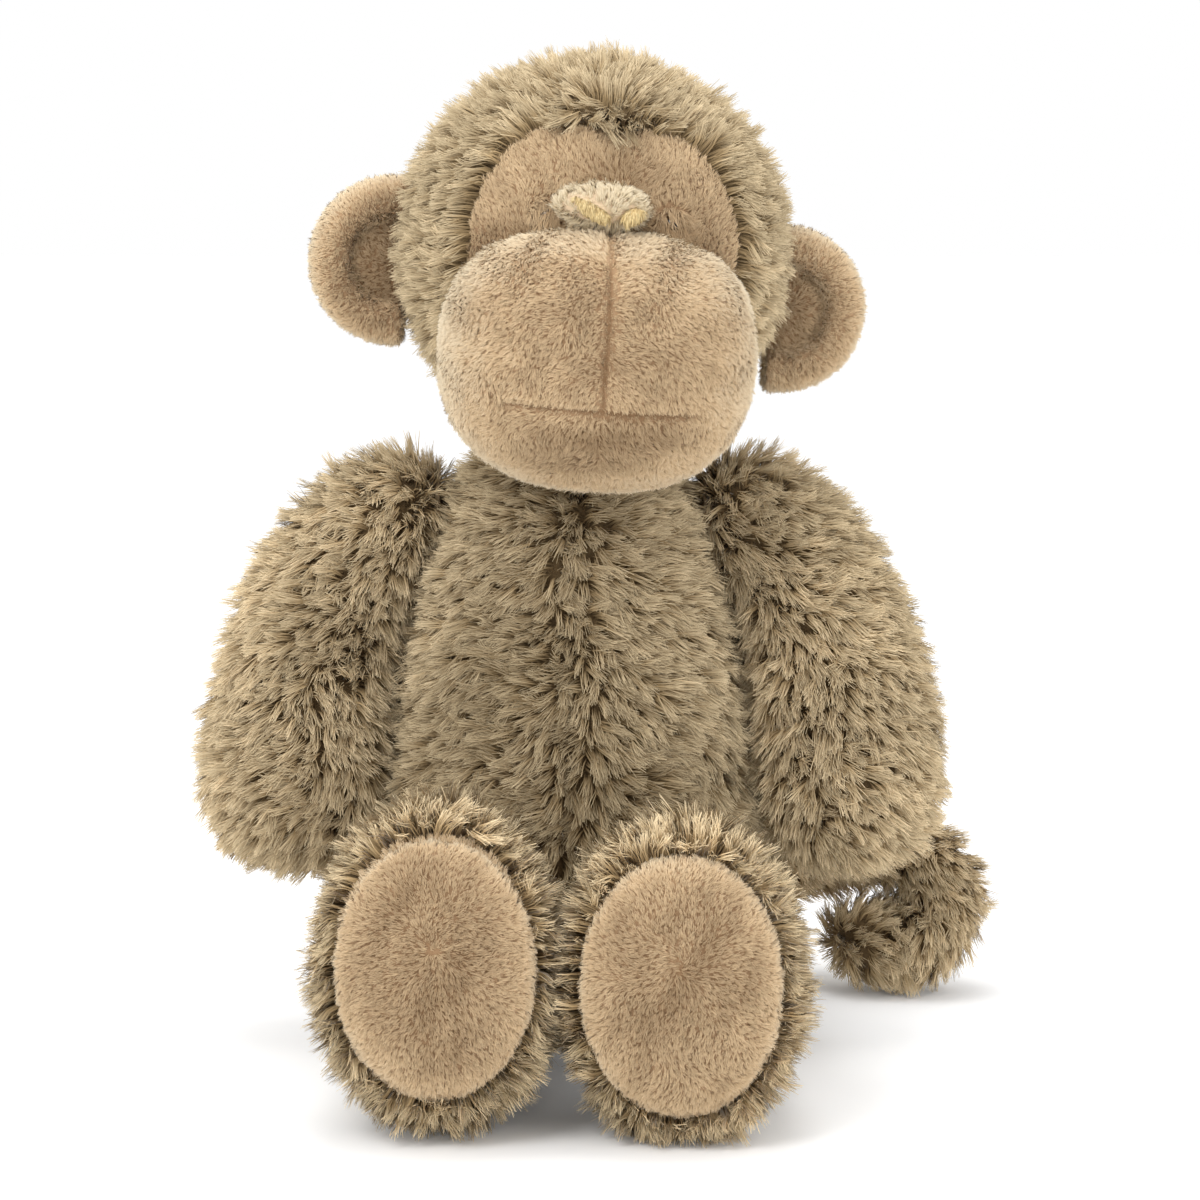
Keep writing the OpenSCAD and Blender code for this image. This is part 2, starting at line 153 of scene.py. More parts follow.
def vertex_normals(mesh):
    no = np.empty(len(mesh.vertices) * 3, np.float32)
    mesh.vertices.foreach_get("normal", no)
    return no.reshape(-1, 3).astype(float)


def applied(obj):
    """Bakes the object's modifiers into its mesh."""
    depsgraph = bpy.context.evaluated_depsgraph_get()
    mesh = bpy.data.meshes.new_from_object(obj.evaluated_get(depsgraph))
    obj.modifiers.clear()
    obj.data = mesh
    return obj


def keep_outer_shell(obj):
    """Drops everything but the tallest connected piece."""
    bm = bmesh.new()
    bm.from_mesh(obj.data)
    seen, groups = set(), []
    for start in bm.verts:
        if start in seen:
            continue
        group, stack = [], [start]
        seen.add(start)
        while stack:
            v = stack.pop()
            group.append(v)
            for edge in v.link_edges:
                other = edge.other_vert(v)
                if other not in seen:
                    seen.add(other)
                    stack.append(other)
        groups.append(group)
    groups.sort(key=lambda g: max(v.co.z for v in g) - min(v.co.z for v in g))
    for group in groups[:-1]:
        bmesh.ops.delete(bm, geom=group, context="VERTS")
    bm.to_mesh(obj.data)
    bm.free()
    return obj


def cover_from(name, node_names, voxel, smoothing):
    """One closed cover round the CAD nodes, with the facets smoothed away."""
    verts, faces = [], []
    for node in node_names:
        mesh = nodes[node].data
        first = len(verts)
        verts += [v.co.copy() for v in mesh.vertices]
        faces += [[first + i for i in p.vertices] for p in mesh.polygons]
    obj = mesh_object(name, verts, faces)
    remesh = obj.modifiers.new("remesh", "REMESH")
    remesh.mode = "VOXEL"
    remesh.voxel_size = voxel
    smooth = obj.modifiers.new("smooth", "SMOOTH")
    smooth.factor = 0.5
    smooth.iterations = smoothing
    return keep_outer_shell(applied(obj))


def hold_seams(obj, held, pressure):
    """Adds cloth under pressure that is held along the seams. held gives each point's hold, 0 to 1."""
    group = obj.vertex_groups.new(name="seams")
    for i, weight in enumerate(held):
        if weight > 0.02:
            group.add([i], float(weight), "REPLACE")
    cloth = obj.modifiers.new("cloth", "CLOTH")
    cloth.settings.use_pressure = True
    cloth.settings.uniform_pressure_force = pressure
    cloth.settings.vertex_group_mass = "seams"
    cloth.settings.effector_weights.gravity = 0
    cloth.settings.quality = 4
    cloth.settings.tension_stiffness = 8
    cloth.settings.compression_stiffness = 8
    cloth.settings.bending_stiffness = 0.4
    cloth.point_cache.frame_start = 1
    cloth.point_cache.frame_end = CLOTH_FRAMES


def inflate_all(covers):
    """Runs the cloth of every cover at once, then keeps each point within its cap."""
    starts = {c["obj"].name: coordinates(c["obj"].data) for c in covers}
    for c in covers:
        hold_seams(c["obj"], c["held"](starts[c["obj"].name]), c["pressure"])
    for frame_number in range(1, CLOTH_FRAMES + 1):
        scene.frame_set(frame_number)
    for c in covers:
        obj = applied(c["obj"])
        moved = coordinates(obj.data) - starts[obj.name]
        far = np.linalg.norm(moved, axis=1, keepdims=True)
        moved *= np.minimum(1, c["cap"] / np.maximum(far, 1e-9))
        set_coordinates(obj.data, starts[obj.name] + moved)


def refined(obj, seams, depth):
    """Subdivides a cover and presses its seams in by up to depth."""
    subdivision = obj.modifiers.new("subdivision", "SUBSURF")
    subdivision.levels = 1
    applied(obj)
    co = coordinates(obj.data)
    set_coordinates(obj.data, co - vertex_normals(obj.data) * (seams(co) * depth)[:, None])
    obj.data.shade_smooth()
    return obj


# ------------------------------------------------------------------ materials

def new_material(name):
    material = bpy.data.materials.new(name)
    material.use_nodes = True
    tree = material.node_tree
    return material, tree, tree.nodes["Principled BSDF"]


def add(tree, kind, **inputs):
    node = tree.nodes.new(kind)
    for key, value in inputs.items():
        node.inputs[key].default_value = value
    return node


def ramp(tree, factor, stops):
    node = tree.nodes.new("ShaderNodeValToRGB")
    elements = node.color_ramp.elements
    while len(elements) < len(stops):
        elements.new(0.5)
    for element, (position, colour) in zip(elements, stops):
        element.position = position
        element.color = (*colour, 1)
    tree.links.new(factor, node.inputs["Fac"])
    return node.outputs["Color"]


def mix(tree, blend, factor, a, b):
    node = tree.nodes.new("ShaderNodeMix")
    node.data_type = "RGBA"
    node.blend_type = blend
    for socket, value in ((node.inputs["Factor"], factor), (node.inputs["A"], a), (node.inputs["B"], b)):
        if isinstance(value, bpy.types.NodeSocket):
            tree.links.new(value, socket)
        else:
            socket.default_value = value if isinstance(value, float) else (*value, 1)
    return node.outputs["Result"]


def noise(tree, scale, detail, roughness=0.5):
    """Noise that stays in place on the object."""
    place = tree.nodes.new("ShaderNodeTexCoord")
    node = add(tree, "ShaderNodeTexNoise", Scale=scale, Detail=detail, Roughness=roughness)
    tree.links.new(place.outputs["Object"], node.inputs["Vector"])
    return node.outputs["Fac"]


def add_bump(tree, shader, height, strength, distance):
    bump = add(tree, "ShaderNodeBump", Strength=strength, Distance=distance)
    tree.links.new(height, bump.inputs["Height"])
    tree.links.new(bump.outputs["Normal"], shader.inputs["Normal"])


def srgb(r, g, b):
    """A colour as it is seen, 0 to 255, in the linear values that the shader takes."""
    return tuple((c / 255 / 12.92) if c <= 10 else ((c / 255 + 0.055) / 1.055) ** 2.4 for c in (r, g, b))


def fabric_finish(shader, sheen, roughness=0.85):
    shader.inputs["Roughness"].default_value = roughness
    shader.inputs["Specular IOR Level"].default_value = 0.15
    shader.inputs["Sheen Weight"].default_value = sheen
    shader.inputs["Sheen Roughness"].default_value = 0.4
    shader.inputs["Sheen Tint"].default_value = (1.0, 0.93, 0.82, 1)


def strand_material(name, root, middle, tip, dark, pale):
    """Strands run from root to tip along v, and each strand has its own shade along u."""
    material, tree, shader = new_material(name)
    uv = tree.nodes.new("ShaderNodeUVMap")
    uv.uv_map = "OFBake"
    parts = tree.nodes.new("ShaderNodeSeparateXYZ")
    tree.links.new(uv.outputs["UV"], parts.inputs["Vector"])
    along = ramp(tree, parts.outputs["Y"], [(0, root), (0.5, middle), (1, tip)])
    shade = ramp(tree, parts.outputs["X"], [(0, dark), (0.5, (1, 1, 1)), (1, pale)])
    tree.links.new(mix(tree, "MULTIPLY", 1.0, along, shade), shader.inputs["Base Color"])
    fabric_finish(shader, 0.25)
    return material


def backing_material(name, low, high, scale):
    """The knitted backing and the fine underpile that show between the strands."""
    material, tree, shader = new_material(name)
    blotches = ramp(tree, noise(tree, scale, 8.0, 0.7), [(0.3, low), (0.7, high)])
    tree.links.new(blotches, shader.inputs["Base Color"])
    add_bump(tree, shader, noise(tree, 2600.0, 3.0), 0.6, 0.6 * MM)
    fabric_finish(shader, 0.3, 0.95)
    return material


def toned_material(name, brushed_and_shaded, plain, pale):
    """Short pile: the cover's own tone says where it is darker, from brushing and from painted shade in creases
    and hollows, and where its rim is pale with a painted sheen.
    """
    material, tree, shader = new_material(name)
    tone = tree.nodes.new("ShaderNodeAttribute")
    tone.attribute_name = "tone"
    colour = ramp(tree, tone.outputs["Fac"], [(0, brushed_and_shaded), (0.5, plain), (1, pale)])
    mottle = noise(tree, 420.0, 6.0, 0.75)
    speckle = ramp(tree, mottle, [(0.3, (0.86, 0.84, 0.82)), (0.7, (1.1, 1.1, 1.1))])
    tree.links.new(mix(tree, "MULTIPLY", 1.0, colour, speckle), shader.inputs["Base Color"])
    add_bump(tree, shader, noise(tree, 2200.0, 4.0, 0.8), 0.5, 0.8 * MM)
    fabric_finish(shader, 0.5)
    return material


def plain_material(name, colour, roughness, grain, depth, coat=0.0):
    """A solid material with a fine grain in its colour and its surface."""
    material, tree, shader = new_material(name)
    dark = tuple(c * 0.8 for c in colour)
    grains = noise(tree, grain, 5.0)
    tree.links.new(ramp(tree, grains, [(0.3, dark), (0.7, colour)]), shader.inputs["Base Color"])
    add_bump(tree, shader, grains, 0.4, depth)
    shader.inputs["Roughness"].default_value = roughness
    shader.inputs["Coat Weight"].default_value = coat
    return material


# The dark root colour of the long pile is partly the pile's own darker roots and partly painted shade deep in the
# pile.
LONG_PILE = strand_material(
    "long_pile", root=srgb(116, 94, 64), middle=srgb(157, 134, 98), tip=srgb(210, 191, 156),
    dark=(0.5, 0.47, 0.42), pale=(1.7, 1.7, 1.72),
)
SHORT_PILE = strand_material(
    "short_pile", root=srgb(190, 155, 116), middle=srgb(208, 179, 140), tip=srgb(220, 194, 157),
    dark=(0.5, 0.46, 0.42), pale=(1.16, 1.32, 1.54),
)
NOSE_PILE = strand_material(
    "nose_pile", root=srgb(188, 166, 130), middle=srgb(214, 195, 160), tip=srgb(228, 214, 186),
    dark=(0.84, 0.8, 0.74), pale=(1.06, 1.08, 1.1),
)
# Painted shade: the satin threads are paler across their middle and darker towards both ends, for the shade in the
# gaps at the edges of the stitched bar.
SATIN_STRAND = strand_material(
    "satin_strand", root=srgb(188, 162, 112), middle=srgb(222, 202, 154), tip=srgb(200, 176, 126),
    dark=(0.55, 0.5, 0.42), pale=(1.2, 1.2, 1.18),
)
UNDERPILE = backing_material("underpile", srgb(88, 70, 46), srgb(124, 103, 73), 300)
SHORT_BASE = toned_material(
    "short_pile_base", brushed_and_shaded=srgb(140, 110, 80), plain=srgb(192, 160, 124), pale=srgb(228, 206, 174)
)
EYE = plain_material("eye_plastic", srgb(30, 22, 18), 0.12, 900, 0.02 * MM, coat=0.6)
FIBRE = plain_material("fibre", srgb(244, 241, 234), 0.95, 700, 0.6 * MM)
POUCH = plain_material("pouch_cloth", srgb(226, 222, 212), 0.9, 1500, 0.3 * MM)
PELLETS = plain_material("pellets", srgb(212, 206, 196), 0.5, 400, 0.8 * MM)
WASHER = plain_material("washer_plastic", srgb(230, 225, 214), 0.45, 600, 0.05 * MM)
THREAD = plain_material("sewing_thread", srgb(126, 106, 78), 0.8, 2500, 0.2 * MM)
SATIN = plain_material("satin_thread", srgb(214, 186, 128), 0.4, 1800, 0.1 * MM)


def paint(obj, material):
    obj.data.materials.clear()
    obj.data.materials.append(material)


# ------------------------------------------------------------------ pile

def triangles_of(mesh, face_mask):
    """Corner indices of the triangles of the chosen faces."""
    mesh.calc_loop_triangles()
    corners = np.empty(len(mesh.loop_triangles) * 3, np.int32)
    owner = np.empty(len(mesh.loop_triangles), np.int32)
    mesh.loop_triangles.foreach_get("vertices", corners)
    mesh.loop_triangles.foreach_get("polygon_index", owner)
    return corners.reshape(-1, 3)[face_mask[owner]]


def scatter(cover, face_mask, spacing, rng):
    """Points over the chosen faces, about one for each spacing squared, with smooth normals."""
    mesh = cover.data
    co = coordinates(mesh)
    no = vertex_normals(mesh)
    tri = triangles_of(mesh, face_mask)
    a, b, c = co[tri[:, 0]], co[tri[:, 1]], co[tri[:, 2]]
    area = np.linalg.norm(np.cross(b - a, c - a), axis=1) / 2
    count = int(area.sum() / spacing ** 2)
    pick = np.searchsorted(np.cumsum(area), (np.arange(count) + rng.random(count)) / count * area.sum())
    pick = np.minimum(pick, len(tri) - 1)
    u, v = rng.random(count), rng.random(count)
    flip = u + v > 1
    u[flip], v[flip] = 1 - u[flip], 1 - v[flip]
    w = np.stack([1 - u - v, u, v], 1)[:, :, None]
    points = (np.stack([a[pick], b[pick], c[pick]], 1) * w).sum(1)
    normals = (no[tri[pick]] * w).sum(1)
    return points, unit(normals)


def strand_mesh(name, root, bend, tip, side, width, normal, shade):
    """Flat blunt strands: two points at the root, two at the bend and two at the tip."""
    n = len(root)
    w = side * width[:, None]
    rows = [root - w, root + w, bend + w * 0.9, bend - w * 0.9, tip + w * 0.3, tip - w * 0.3]
    verts = np.stack(rows, 1).reshape(-1, 3)
    first = (np.arange(n) * 6)[:, None]
    loops = (first + np.array([0, 1, 2, 3, 3, 2, 4, 5])).ravel()
    mesh = bpy.data.meshes.new(name)
    mesh.vertices.add(n * 6)
    mesh.loops.add(n * 8)
    mesh.polygons.add(n * 2)
    mesh.vertices.foreach_set("co", verts.astype(np.float32).ravel())
    mesh.loops.foreach_set("vertex_index", loops.astype(np.int32))
    mesh.polygons.foreach_set("loop_start", (np.arange(n * 2) * 4).astype(np.int32))
    uv = mesh.uv_layers.new(name="OFBake")
    along = np.tile([0.02, 0.02, 0.5, 0.5, 0.5, 0.5, 0.98, 0.98], (n, 1))
    across = np.repeat(np.clip(shade, 0.02, 0.98)[:, None], 8, 1)
    uv.data.foreach_set("uv", np.stack([across, along], 2).astype(np.float32).ravel())
    mesh.update(calc_edges=True)
    mesh.shade_smooth()
    mesh.normals_split_custom_set_from_vertices(np.repeat(normal, 6, 0).astype(np.float32))
    obj = bpy.data.objects.new(name, mesh)
    scene.collection.objects.link(obj)
    return obj


def lit_side(normals, reach):
    """Round strands that stand out past the front of the toy still turn a lit side forward."""
    forward = FRONT - reach * (reach @ FRONT)[:, None]
    return forward * np.clip(0.6 + normals @ FRONT, 0, 1)[:, None]


def lay_clumps(cover, face_mask, style, rng):
    """Root, normal, comb, length, lean and tone of each clump of strands on the chosen faces."""
    points, normals = scatter(cover, face_mask, style["clump"], rng)
    comb, lift, scale, tone = style["lie"](points, normals)
    keep = scale > 0.05
    points, normals, comb = points[keep], normals[keep], comb[keep]
    lift, scale, tone = lift[keep], scale[keep], tone[keep]
    comb = unit(comb - normals * (comb * normals).sum(1, keepdims=True))
    length = style["length"] * scale * (1 + 0.2 * rng.normal(size=len(points)).clip(-2, 2))
    lean = unit(normals * lift[:, None] + comb + style["stray"] * rng.normal(size=points.shape))
    mottle = smooth_noise(points, 40 * MM, 3) + 0.8 * rng.normal(size=len(points))
    return points, normals, comb, length, lean, tone + style["mottle"] * mottle


def grow(name, cover, face_mask, style, seed):
    """Pile on the chosen faces of a cover. style holds its sizes in metres and how it lies."""
    rng = np.random.default_rng(seed)
    clumps = lay_clumps(cover, face_mask, style, rng)
    points, n, comb, clump_length, lean, tone = [np.repeat(a, style["strands"], 0) for a in clumps]
    clump_tip = points + lean * clump_length[:, None]
    side = unit(np.cross(comb, n))
    spin = rng.random(len(n)) * 2 * math.pi
    radius = style["clump"] * 0.75 * np.sqrt(rng.random(len(n)))
    root = points - n * style["sunk"]
    root += (comb * np.cos(spin)[:, None] + side * np.sin(spin)[:, None]) * radius[:, None]
    length = clump_length * (0.72 + 0.38 * rng.random(len(n)))
    own_lean = unit(lean + 0.2 * rng.normal(size=n.shape))
    gather = (style["gather"] * rng.uniform(0.6, 1.05, len(n)))[:, None]
    tip = (root + own_lean * length[:, None]) * (1 - gather) + clump_tip * gather
    tip += style["sunk"] * 0.5 * rng.normal(size=n.shape)
    bend = root * 0.25 + (root + n * length[:, None] * style["rise"]) * 0.5 + tip * 0.25
    for row in (tip, bend):
        row[:, 2] = np.maximum(row[:, 2], FLOOR_GAP)
    reach = unit(tip - root)
    shading = unit(n + style["round"] * lit_side(n, reach) + style["rough"] * rng.normal(size=n.shape))
    across = unit(np.cross(reach, shading) + 0.2 * rng.normal(size=n.shape))
    faces_in = (np.cross(across, reach) * shading).sum(1, keepdims=True) < 0
    across *= np.where(faces_in, -1, 1)
    shade = tone + style["mottle"] * 0.9 * rng.normal(size=len(n))
    width = style["width"] * rng.uniform(0.7, 1.2, len(n))
    obj = strand_mesh(name, root, bend, tip, across, width / 2, shading, shade)
    paint(obj, style["material"])
    return obj


def node_tree(node):
    mesh = nodes[node].data
    return BVHTree.FromPolygons([v.co for v in mesh.vertices], [p.vertices for p in mesh.polygons])


def nearest_node(cover, node_names, laps):
    """For each face of a cover, which CAD node it belongs to. A lap lets a node reach past its edge."""
    trees = [node_tree(node) for node in node_names]
    return np.array([
        min(range(len(trees)), key=lambda i: trees[i].find_nearest(p.center)[3] - laps[i])
        for p in cover.data.polygons
    ])


def gap_to(node_names, points):
    """How far each point is from the nearest of some CAD nodes."""
    gap = np.full(len(points), 1.0)
    for node in node_names:
        tree = node_tree(node)
        gap = np.minimum(gap, [tree.find_nearest(Vector(p))[3] for p in points])
    return gap


# ------------------------------------------------------------------ seams
#
# For points p on a cover, the seams say where it is pressed in and held says where the cloth is kept
# from blowing up. Both go from 0 to 1.

def near(distance, width):
    """1 at no distance, falling smoothly to 0 well past the width."""
    return np.exp(-(distance / width) ** 2)


def step(value, low, high):
    """0 up to low, 1 from high on, and a straight line between them."""
    return np.clip((value - low) / (high - low), 0, 1)


TORSO_SIDE_Y = 1 * MM
ARM_SIDE_Y = -5 * MM


def no_seams(p):
    return np.zeros(len(p))


def torso_seams(p):
    middle = near(p[:, 0], 2 * MM)
    sides = near(p[:, 1] - TORSO_SIDE_Y, 2 * MM) * (np.abs(p[:, 0]) > 10 * MM)
    return np.maximum(middle, sides)


def torso_held(p):
    seat = (p[:, 2] < 5 * MM).astype(float)
    neck = (p[:, 2] > torso_top - 10 * MM).astype(float)
    return np.maximum.reduce([torso_seams(p), seat, neck])


def arm_seams(p):
    return near(p[:, 1] - ARM_SIDE_Y, 2 * MM) * (np.abs(p[:, 0]) > arm_root_x + 12 * MM)


def arm_held(p):
    return np.maximum(arm_seams(p), np.abs(p[:, 0]) < arm_root_x + 6 * MM)


def leg_seams(p):
    return near(p[:, 1] - sole_seam_y, 1.6 * MM)


def leg_held(p):
    return np.maximum(near(p[:, 1] - sole_seam_y, 2 * MM), p[:, 1] > hip_y + 5 * MM)


def head_held(p):
    return (in_head(p)[:, 2] < -0.8 * head_r).astype(float)


def muzzle_seams(p):
    q = in_head(p)
    mouth = near(q[:, 2] - mouth_z, 1.2 * MM) * (1 - step(np.abs(q[:, 0]), 22 * MM, 30 * MM))
    middle = near(q[:, 0], 1.1 * MM) * (q[:, 2] > mouth_z)
    return np.maximum(mouth, middle) * (q[:, 1] > head_r)


def muzzle_held(p):
    q = in_head(p)
    return np.maximum(muzzle_seams(p), np.linalg.norm(q, axis=1) < head_r + 1 * MM)


def tail_held(p):
    return ((p[:, 1] < 45 * MM) & (p[:, 0] < 30 * MM)).astype(float)


def ear_held(p):
    return (np.abs(in_head(p)[:, 0]) < head_r + 3 * MM).astype(float)


# ------------------------------------------------------------------ how the pile lies
#
# For points p with normals n, each lie gives the way the pile is combed, how steeply it stands, its
# share of the full length, and its tone from 0 (dark) to 1 (pale). Each long pile part has its own base
# tone as painted light and shade: paler or darker than the others for how the light falls on it.

def directions(x, y, z):
    """One direction for each point. Each coordinate is an array or one number for all the points."""
    return np.stack(np.broadcast_arrays(x, y, z), 1)


def wander(p, comb, normals, size, angle, seed):
    """Turns a comb direction about the normal by a smooth random angle."""
    turn = (smooth_noise(p, size, seed) * angle)[:, None]
    flat = unit(comb - normals * (comb * normals).sum(1, keepdims=True))
    return flat * np.cos(turn) + np.cross(normals, flat) * np.sin(turn)


def torso_lie(p, n):
    """Outward and down on both sides of the front seam, ruffled along the seam."""
    off_seam = np.tanh(p[:, 0] / (10 * MM))
    parting = near(p[:, 0], 4 * MM) * (1 - 0.6 * step(p[:, 2], 85 * MM, 110 * MM))
    comb = directions(0.95 * off_seam, 0, -1.25 + 0.5 * step(p[:, 2], 20 * MM, 70 * MM))
    comb = wander(p, comb, n, 34 * MM, 0.75, 11)
    comb = wander(p, comb, n, 9 * MM, 0.6 + 0.7 * parting, 13)
    lift = 1.5 + 0.5 * smooth_noise(p, 20 * MM, 12)
    on_seat = (p[:, 2] < 3 * MM) & (n[:, 2] < -0.5)
    # Painted shade: near the arms and legs the pile is toned darker for the shade in the crease between the parts,
    # and the torso's base tone is set darker for how the light falls on it.
    groove = near(gap_to(ARM_PANELS + LEG_PANELS, p), 7 * MM)
    scale = np.where(on_seat, 0, 1 - 0.3 * parting - 0.3 * groove)
    return comb, lift, scale, 0.36 - 0.14 * parting - 0.26 * groove


def arm_lie(side):
    """Outward and down the arm. side is 1 for the left arm and -1 for the right one."""
    def lie(p, n):
        comb = np.tile([0.85 * side, 0, -0.8], (len(p), 1))
        comb = wander(p, comb, n, 40 * MM, 0.5, 21)
        comb = wander(p, comb, n, 9 * MM, 0.55, 23)
        lift = 1.5 + 0.5 * smooth_noise(p, 20 * MM, 22)
        # Painted shade: next to the torso the pile is toned darker for the shade in the crease between the parts,
        # and the arms' base tone is set paler for how the light falls on them.
        groove = near(gap_to(TORSO_PANELS, p), 7 * MM)
        return comb, lift, 1 - 0.3 * groove, 0.57 - 0.28 * groove
    return lie


def leg_lie(p, n):
    """Forward and down along the leg, and standing out all round the edge of the sole."""
    rim = 1 - step(p[:, 1] - sole_seam_y, 4.5 * MM, 18.5 * MM)
    comb = directions(0.3 * n[:, 0], -1, -0.35 * (1 - rim))
    comb = wander(p, comb, n, 40 * MM, 0.4, 31)
    comb = wander(p, comb, n, 9 * MM, 0.5, 33)
    lift = 1.3 + 0.7 * rim + 0.4 * smooth_noise(p, 20 * MM, 32)
    # Painted light: the pile round the sole is toned paler for the light that shines through its rim of fur, and
    # the legs' base tone is set for how the light falls on them.
    return comb, lift, 1 - 0.05 * rim, 0.48 + 0.3 * rim


def head_lie(p, n):
    """Away from the face all round, with a ruffled tuft that hangs between the brows."""
    q = in_head(p) / head_r
    outward = directions(1.1 * q[:, 0], -0.5, 0.7 * q[:, 2] - 0.5)
    brow = near(q[:, 0], 0.24) * near(gap_to(["face_mask"], p), 8 * MM)
    outward += brow[:, None] * np.array([0.0, 0.6, -2.6])
    comb = wander(p, from_head(outward), n, 28 * MM, 0.6, 41)
    comb = wander(p, comb, n, 8 * MM, 0.5 + 0.5 * brow, 43)
    lift = (1.4 + 0.5 * smooth_noise(p, 20 * MM, 42)) * (1 - 0.65 * brow)
    # Painted light and shade: the crown is toned paler where the light falls from above, the tuft between the
    # brows darker for the shade in the crease over the mask, and the head's base tone is set for how the light
    # falls on it.
    crown = step(q[:, 2], 0.5, 0.9)
    return comb, lift, 1 + 0.25 * brow, 0.45 + 0.02 * crown - 0.1 * brow


def tail_lie(p, n):
    """Along the tail, which runs out to the left, turns forward and curls back under itself."""
    share = (p - tail_low) / (tail_high - tail_low)
    turned = step(share[:, 0], 0.72, 0.95)
    under = turned * (1 - step(share[:, 2], 0.3, 0.55))
    comb = directions(1 - 1.2 * turned - 0.8 * under, 0.2 - 1.1 * turned, 0.3 - 1.4 * turned)
    comb = wander(p, comb, n, 26 * MM, 0.5, 51)
    comb = wander(p, comb, n, 9 * MM, 0.4, 53)
    # Painted light: the whole tail gets a paler base tone for how the light falls on it.
    return comb, np.full(len(p), 1.3), np.ones(len(p)), np.full(len(p), 0.7)


def short_tone(p, n, facing, seed):
    """Painted sheen that makes it pale where the surface turns from facing, as pile seen from its side, and darker
    from brushing in patches on the front.
    """
    turned = 1 - np.clip(n @ facing, 0, 1)
    patches = 0.1 * smooth_noise(p, 24 * MM, seed) + 0.07 * smooth_noise(p, 7 * MM, seed + 1)
    return 0.36 + 0.7 * turned + patches * (1 - turned)


def muzzle_lie(p, n):
    """Down and away from the middle seam, darker from brushing under the mouth and in the middle, and with painted
    shade along the seams.
    """
    q = in_head(p)
    seam = muzzle_seams(p)
    parted = near(q[:, 0], 5 * MM) * (q[:, 2] > mouth_z)
    comb = from_head(directions(np.sign(q[:, 0]) * (0.35 + parted), 0, -0.7))
    comb = wander(p, comb, n, 14 * MM, 0.8, 61)
    chin = step(mouth_z - q[:, 2], 0, 6 * MM) * np.clip(n @ head_front, 0, 1)
    worn = near(q[:, 0], 24 * MM) * step(q[:, 2] - mouth_z, 0, 12 * MM) * np.clip(n @ head_front, 0, 1)
    # Painted shade: the seams are toned darker for the shade in their creases.
    tone = short_tone(p, n, head_front, 63) - 0.28 * chin - 0.05 * worn - 0.3 * seam
    return comb, np.full(len(p), 1.2), 1 - 0.7 * seam, tone


def mask_lie(p, n):
    """Up and out over the brows, toned darker as painted shade in the crease of the muzzle, and down over each
    eye.
    """
    comb = from_head(directions(0.5 * in_head(p)[:, 0] / head_r, 0, 0.8))
    comb = wander(p, comb, n, 14 * MM, 0.9, 65)
    lid = near(gap_to(["eye_left", "eye_right"], p), 3 * MM)
    comb = comb * (1 - lid[:, None]) - 2 * head_up * lid[:, None]
    # Painted shade: the mask is darker next to the muzzle, where shade falls in the crease.
    crease = near(gap_to(["muzzle_upper_left", "muzzle_upper_right"], p), 4 * MM)
    tone = short_tone(p, n, head_front, 67) - 0.24 - 0.12 * crease
    return comb, 1.2 - 0.7 * lid, 1 + 1.5 * lid, tone


def sole_lie(node):
    """Out from the middle of the sole, with painted light that makes it paler towards its edge."""
    middle = centre(node)
    low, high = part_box(node)

    def lie(p, n):
        out = (p - middle) / np.array([high.x - low.x, 1, high.z - low.z]) * 2
        far = np.linalg.norm(out[:, [0, 2]], axis=1)
        comb = wander(p, (p - middle) * (1, 0, 1) - (0, 0, 6 * MM), n, 14 * MM, 0.7, 69)
        # Painted light: paler towards the edge of the sole, for how the light falls on its domed rim.
        tone = short_tone(p, n, FRONT, 71) - 0.15 + 0.1 * step(far, 0.6, 1)
        return comb, np.full(len(p), 1.2), np.ones(len(p)), tone
    return lie


def ear_lie(node):
    """Darker in the hollow of the ear, partly from brushing and partly as painted shade, and painted paler round
    its rolled rim where the light catches it.
    """
    low, high = box_in_head(node)
    root = low[0] if low[0] > 0 else high[0]
    middle = np.array([root, 0, (low[2] + high[2]) / 2])
    reach = (high[2] - low[2]) / 2

    def lie(p, n):
        q = in_head(p)
        out = (q - middle) * (1, 0, 1)
        far = np.linalg.norm(out, axis=1) / reach
        comb = wander(p, from_head(out), n, 12 * MM, 0.6, 73)
        hollow = (1 - step(far, 0.42, 0.72)) * (n @ head_front > 0)
        # Painted shade and light: the hollow is toned darker, partly for brushed pile and partly for the shade in
        # it, and the rim paler where the light catches it.
        tone = short_tone(p, n, head_front, 75) - 0.25 * hollow + 0.04 * step(far, 0.7, 1)
        return comb, np.full(len(p), 1.2), np.ones(len(p)), tone
    return lie


def nose_lie(p, n):
    """Cream tuft that stands up over the nostrils and hangs down into the crease under them."""
    q = in_head(p)
    gap = gap_to(["nostril_left", "nostril_right"], p)
    under = step(nostril_z - q[:, 2], 0.5 * MM, 2 * MM)
    comb = from_head(directions(0.6 * np.tanh(q[:, 0] / (4 * MM)), -0.3 * under, 0.7 - 1.7 * under))
    comb = wander(p, comb, n, 8 * MM, 0.6, 77)
    scale = step(gap, 0.1 * MM, 1.6 * MM) * (1 + 0.6 * under)
    return comb, 1.5 - 0.5 * under, scale, 0.5 + 0.3 * under


def satin_lie(p, n):
    """Threads laid side by side across the nostril."""
    across = from_head(np.tile([0, 0.3, -1], (len(p), 1)))
    return across, np.full(len(p), 0.02), np.ones(len(p)), np.full(len(p), 0.5)


def long_style(lie, length):
    return {
        "lie": lie, "length": length, "clump": 2.0 * MM, "strands": 16, "stray": 0.35, "sunk": 0.5 * MM,
        "gather": 0.7, "rise": 0.5, "width": 0.34 * MM, "round": 0.85, "rough": 0.22, "mottle": 0.1,
        "material": LONG_PILE,
    }


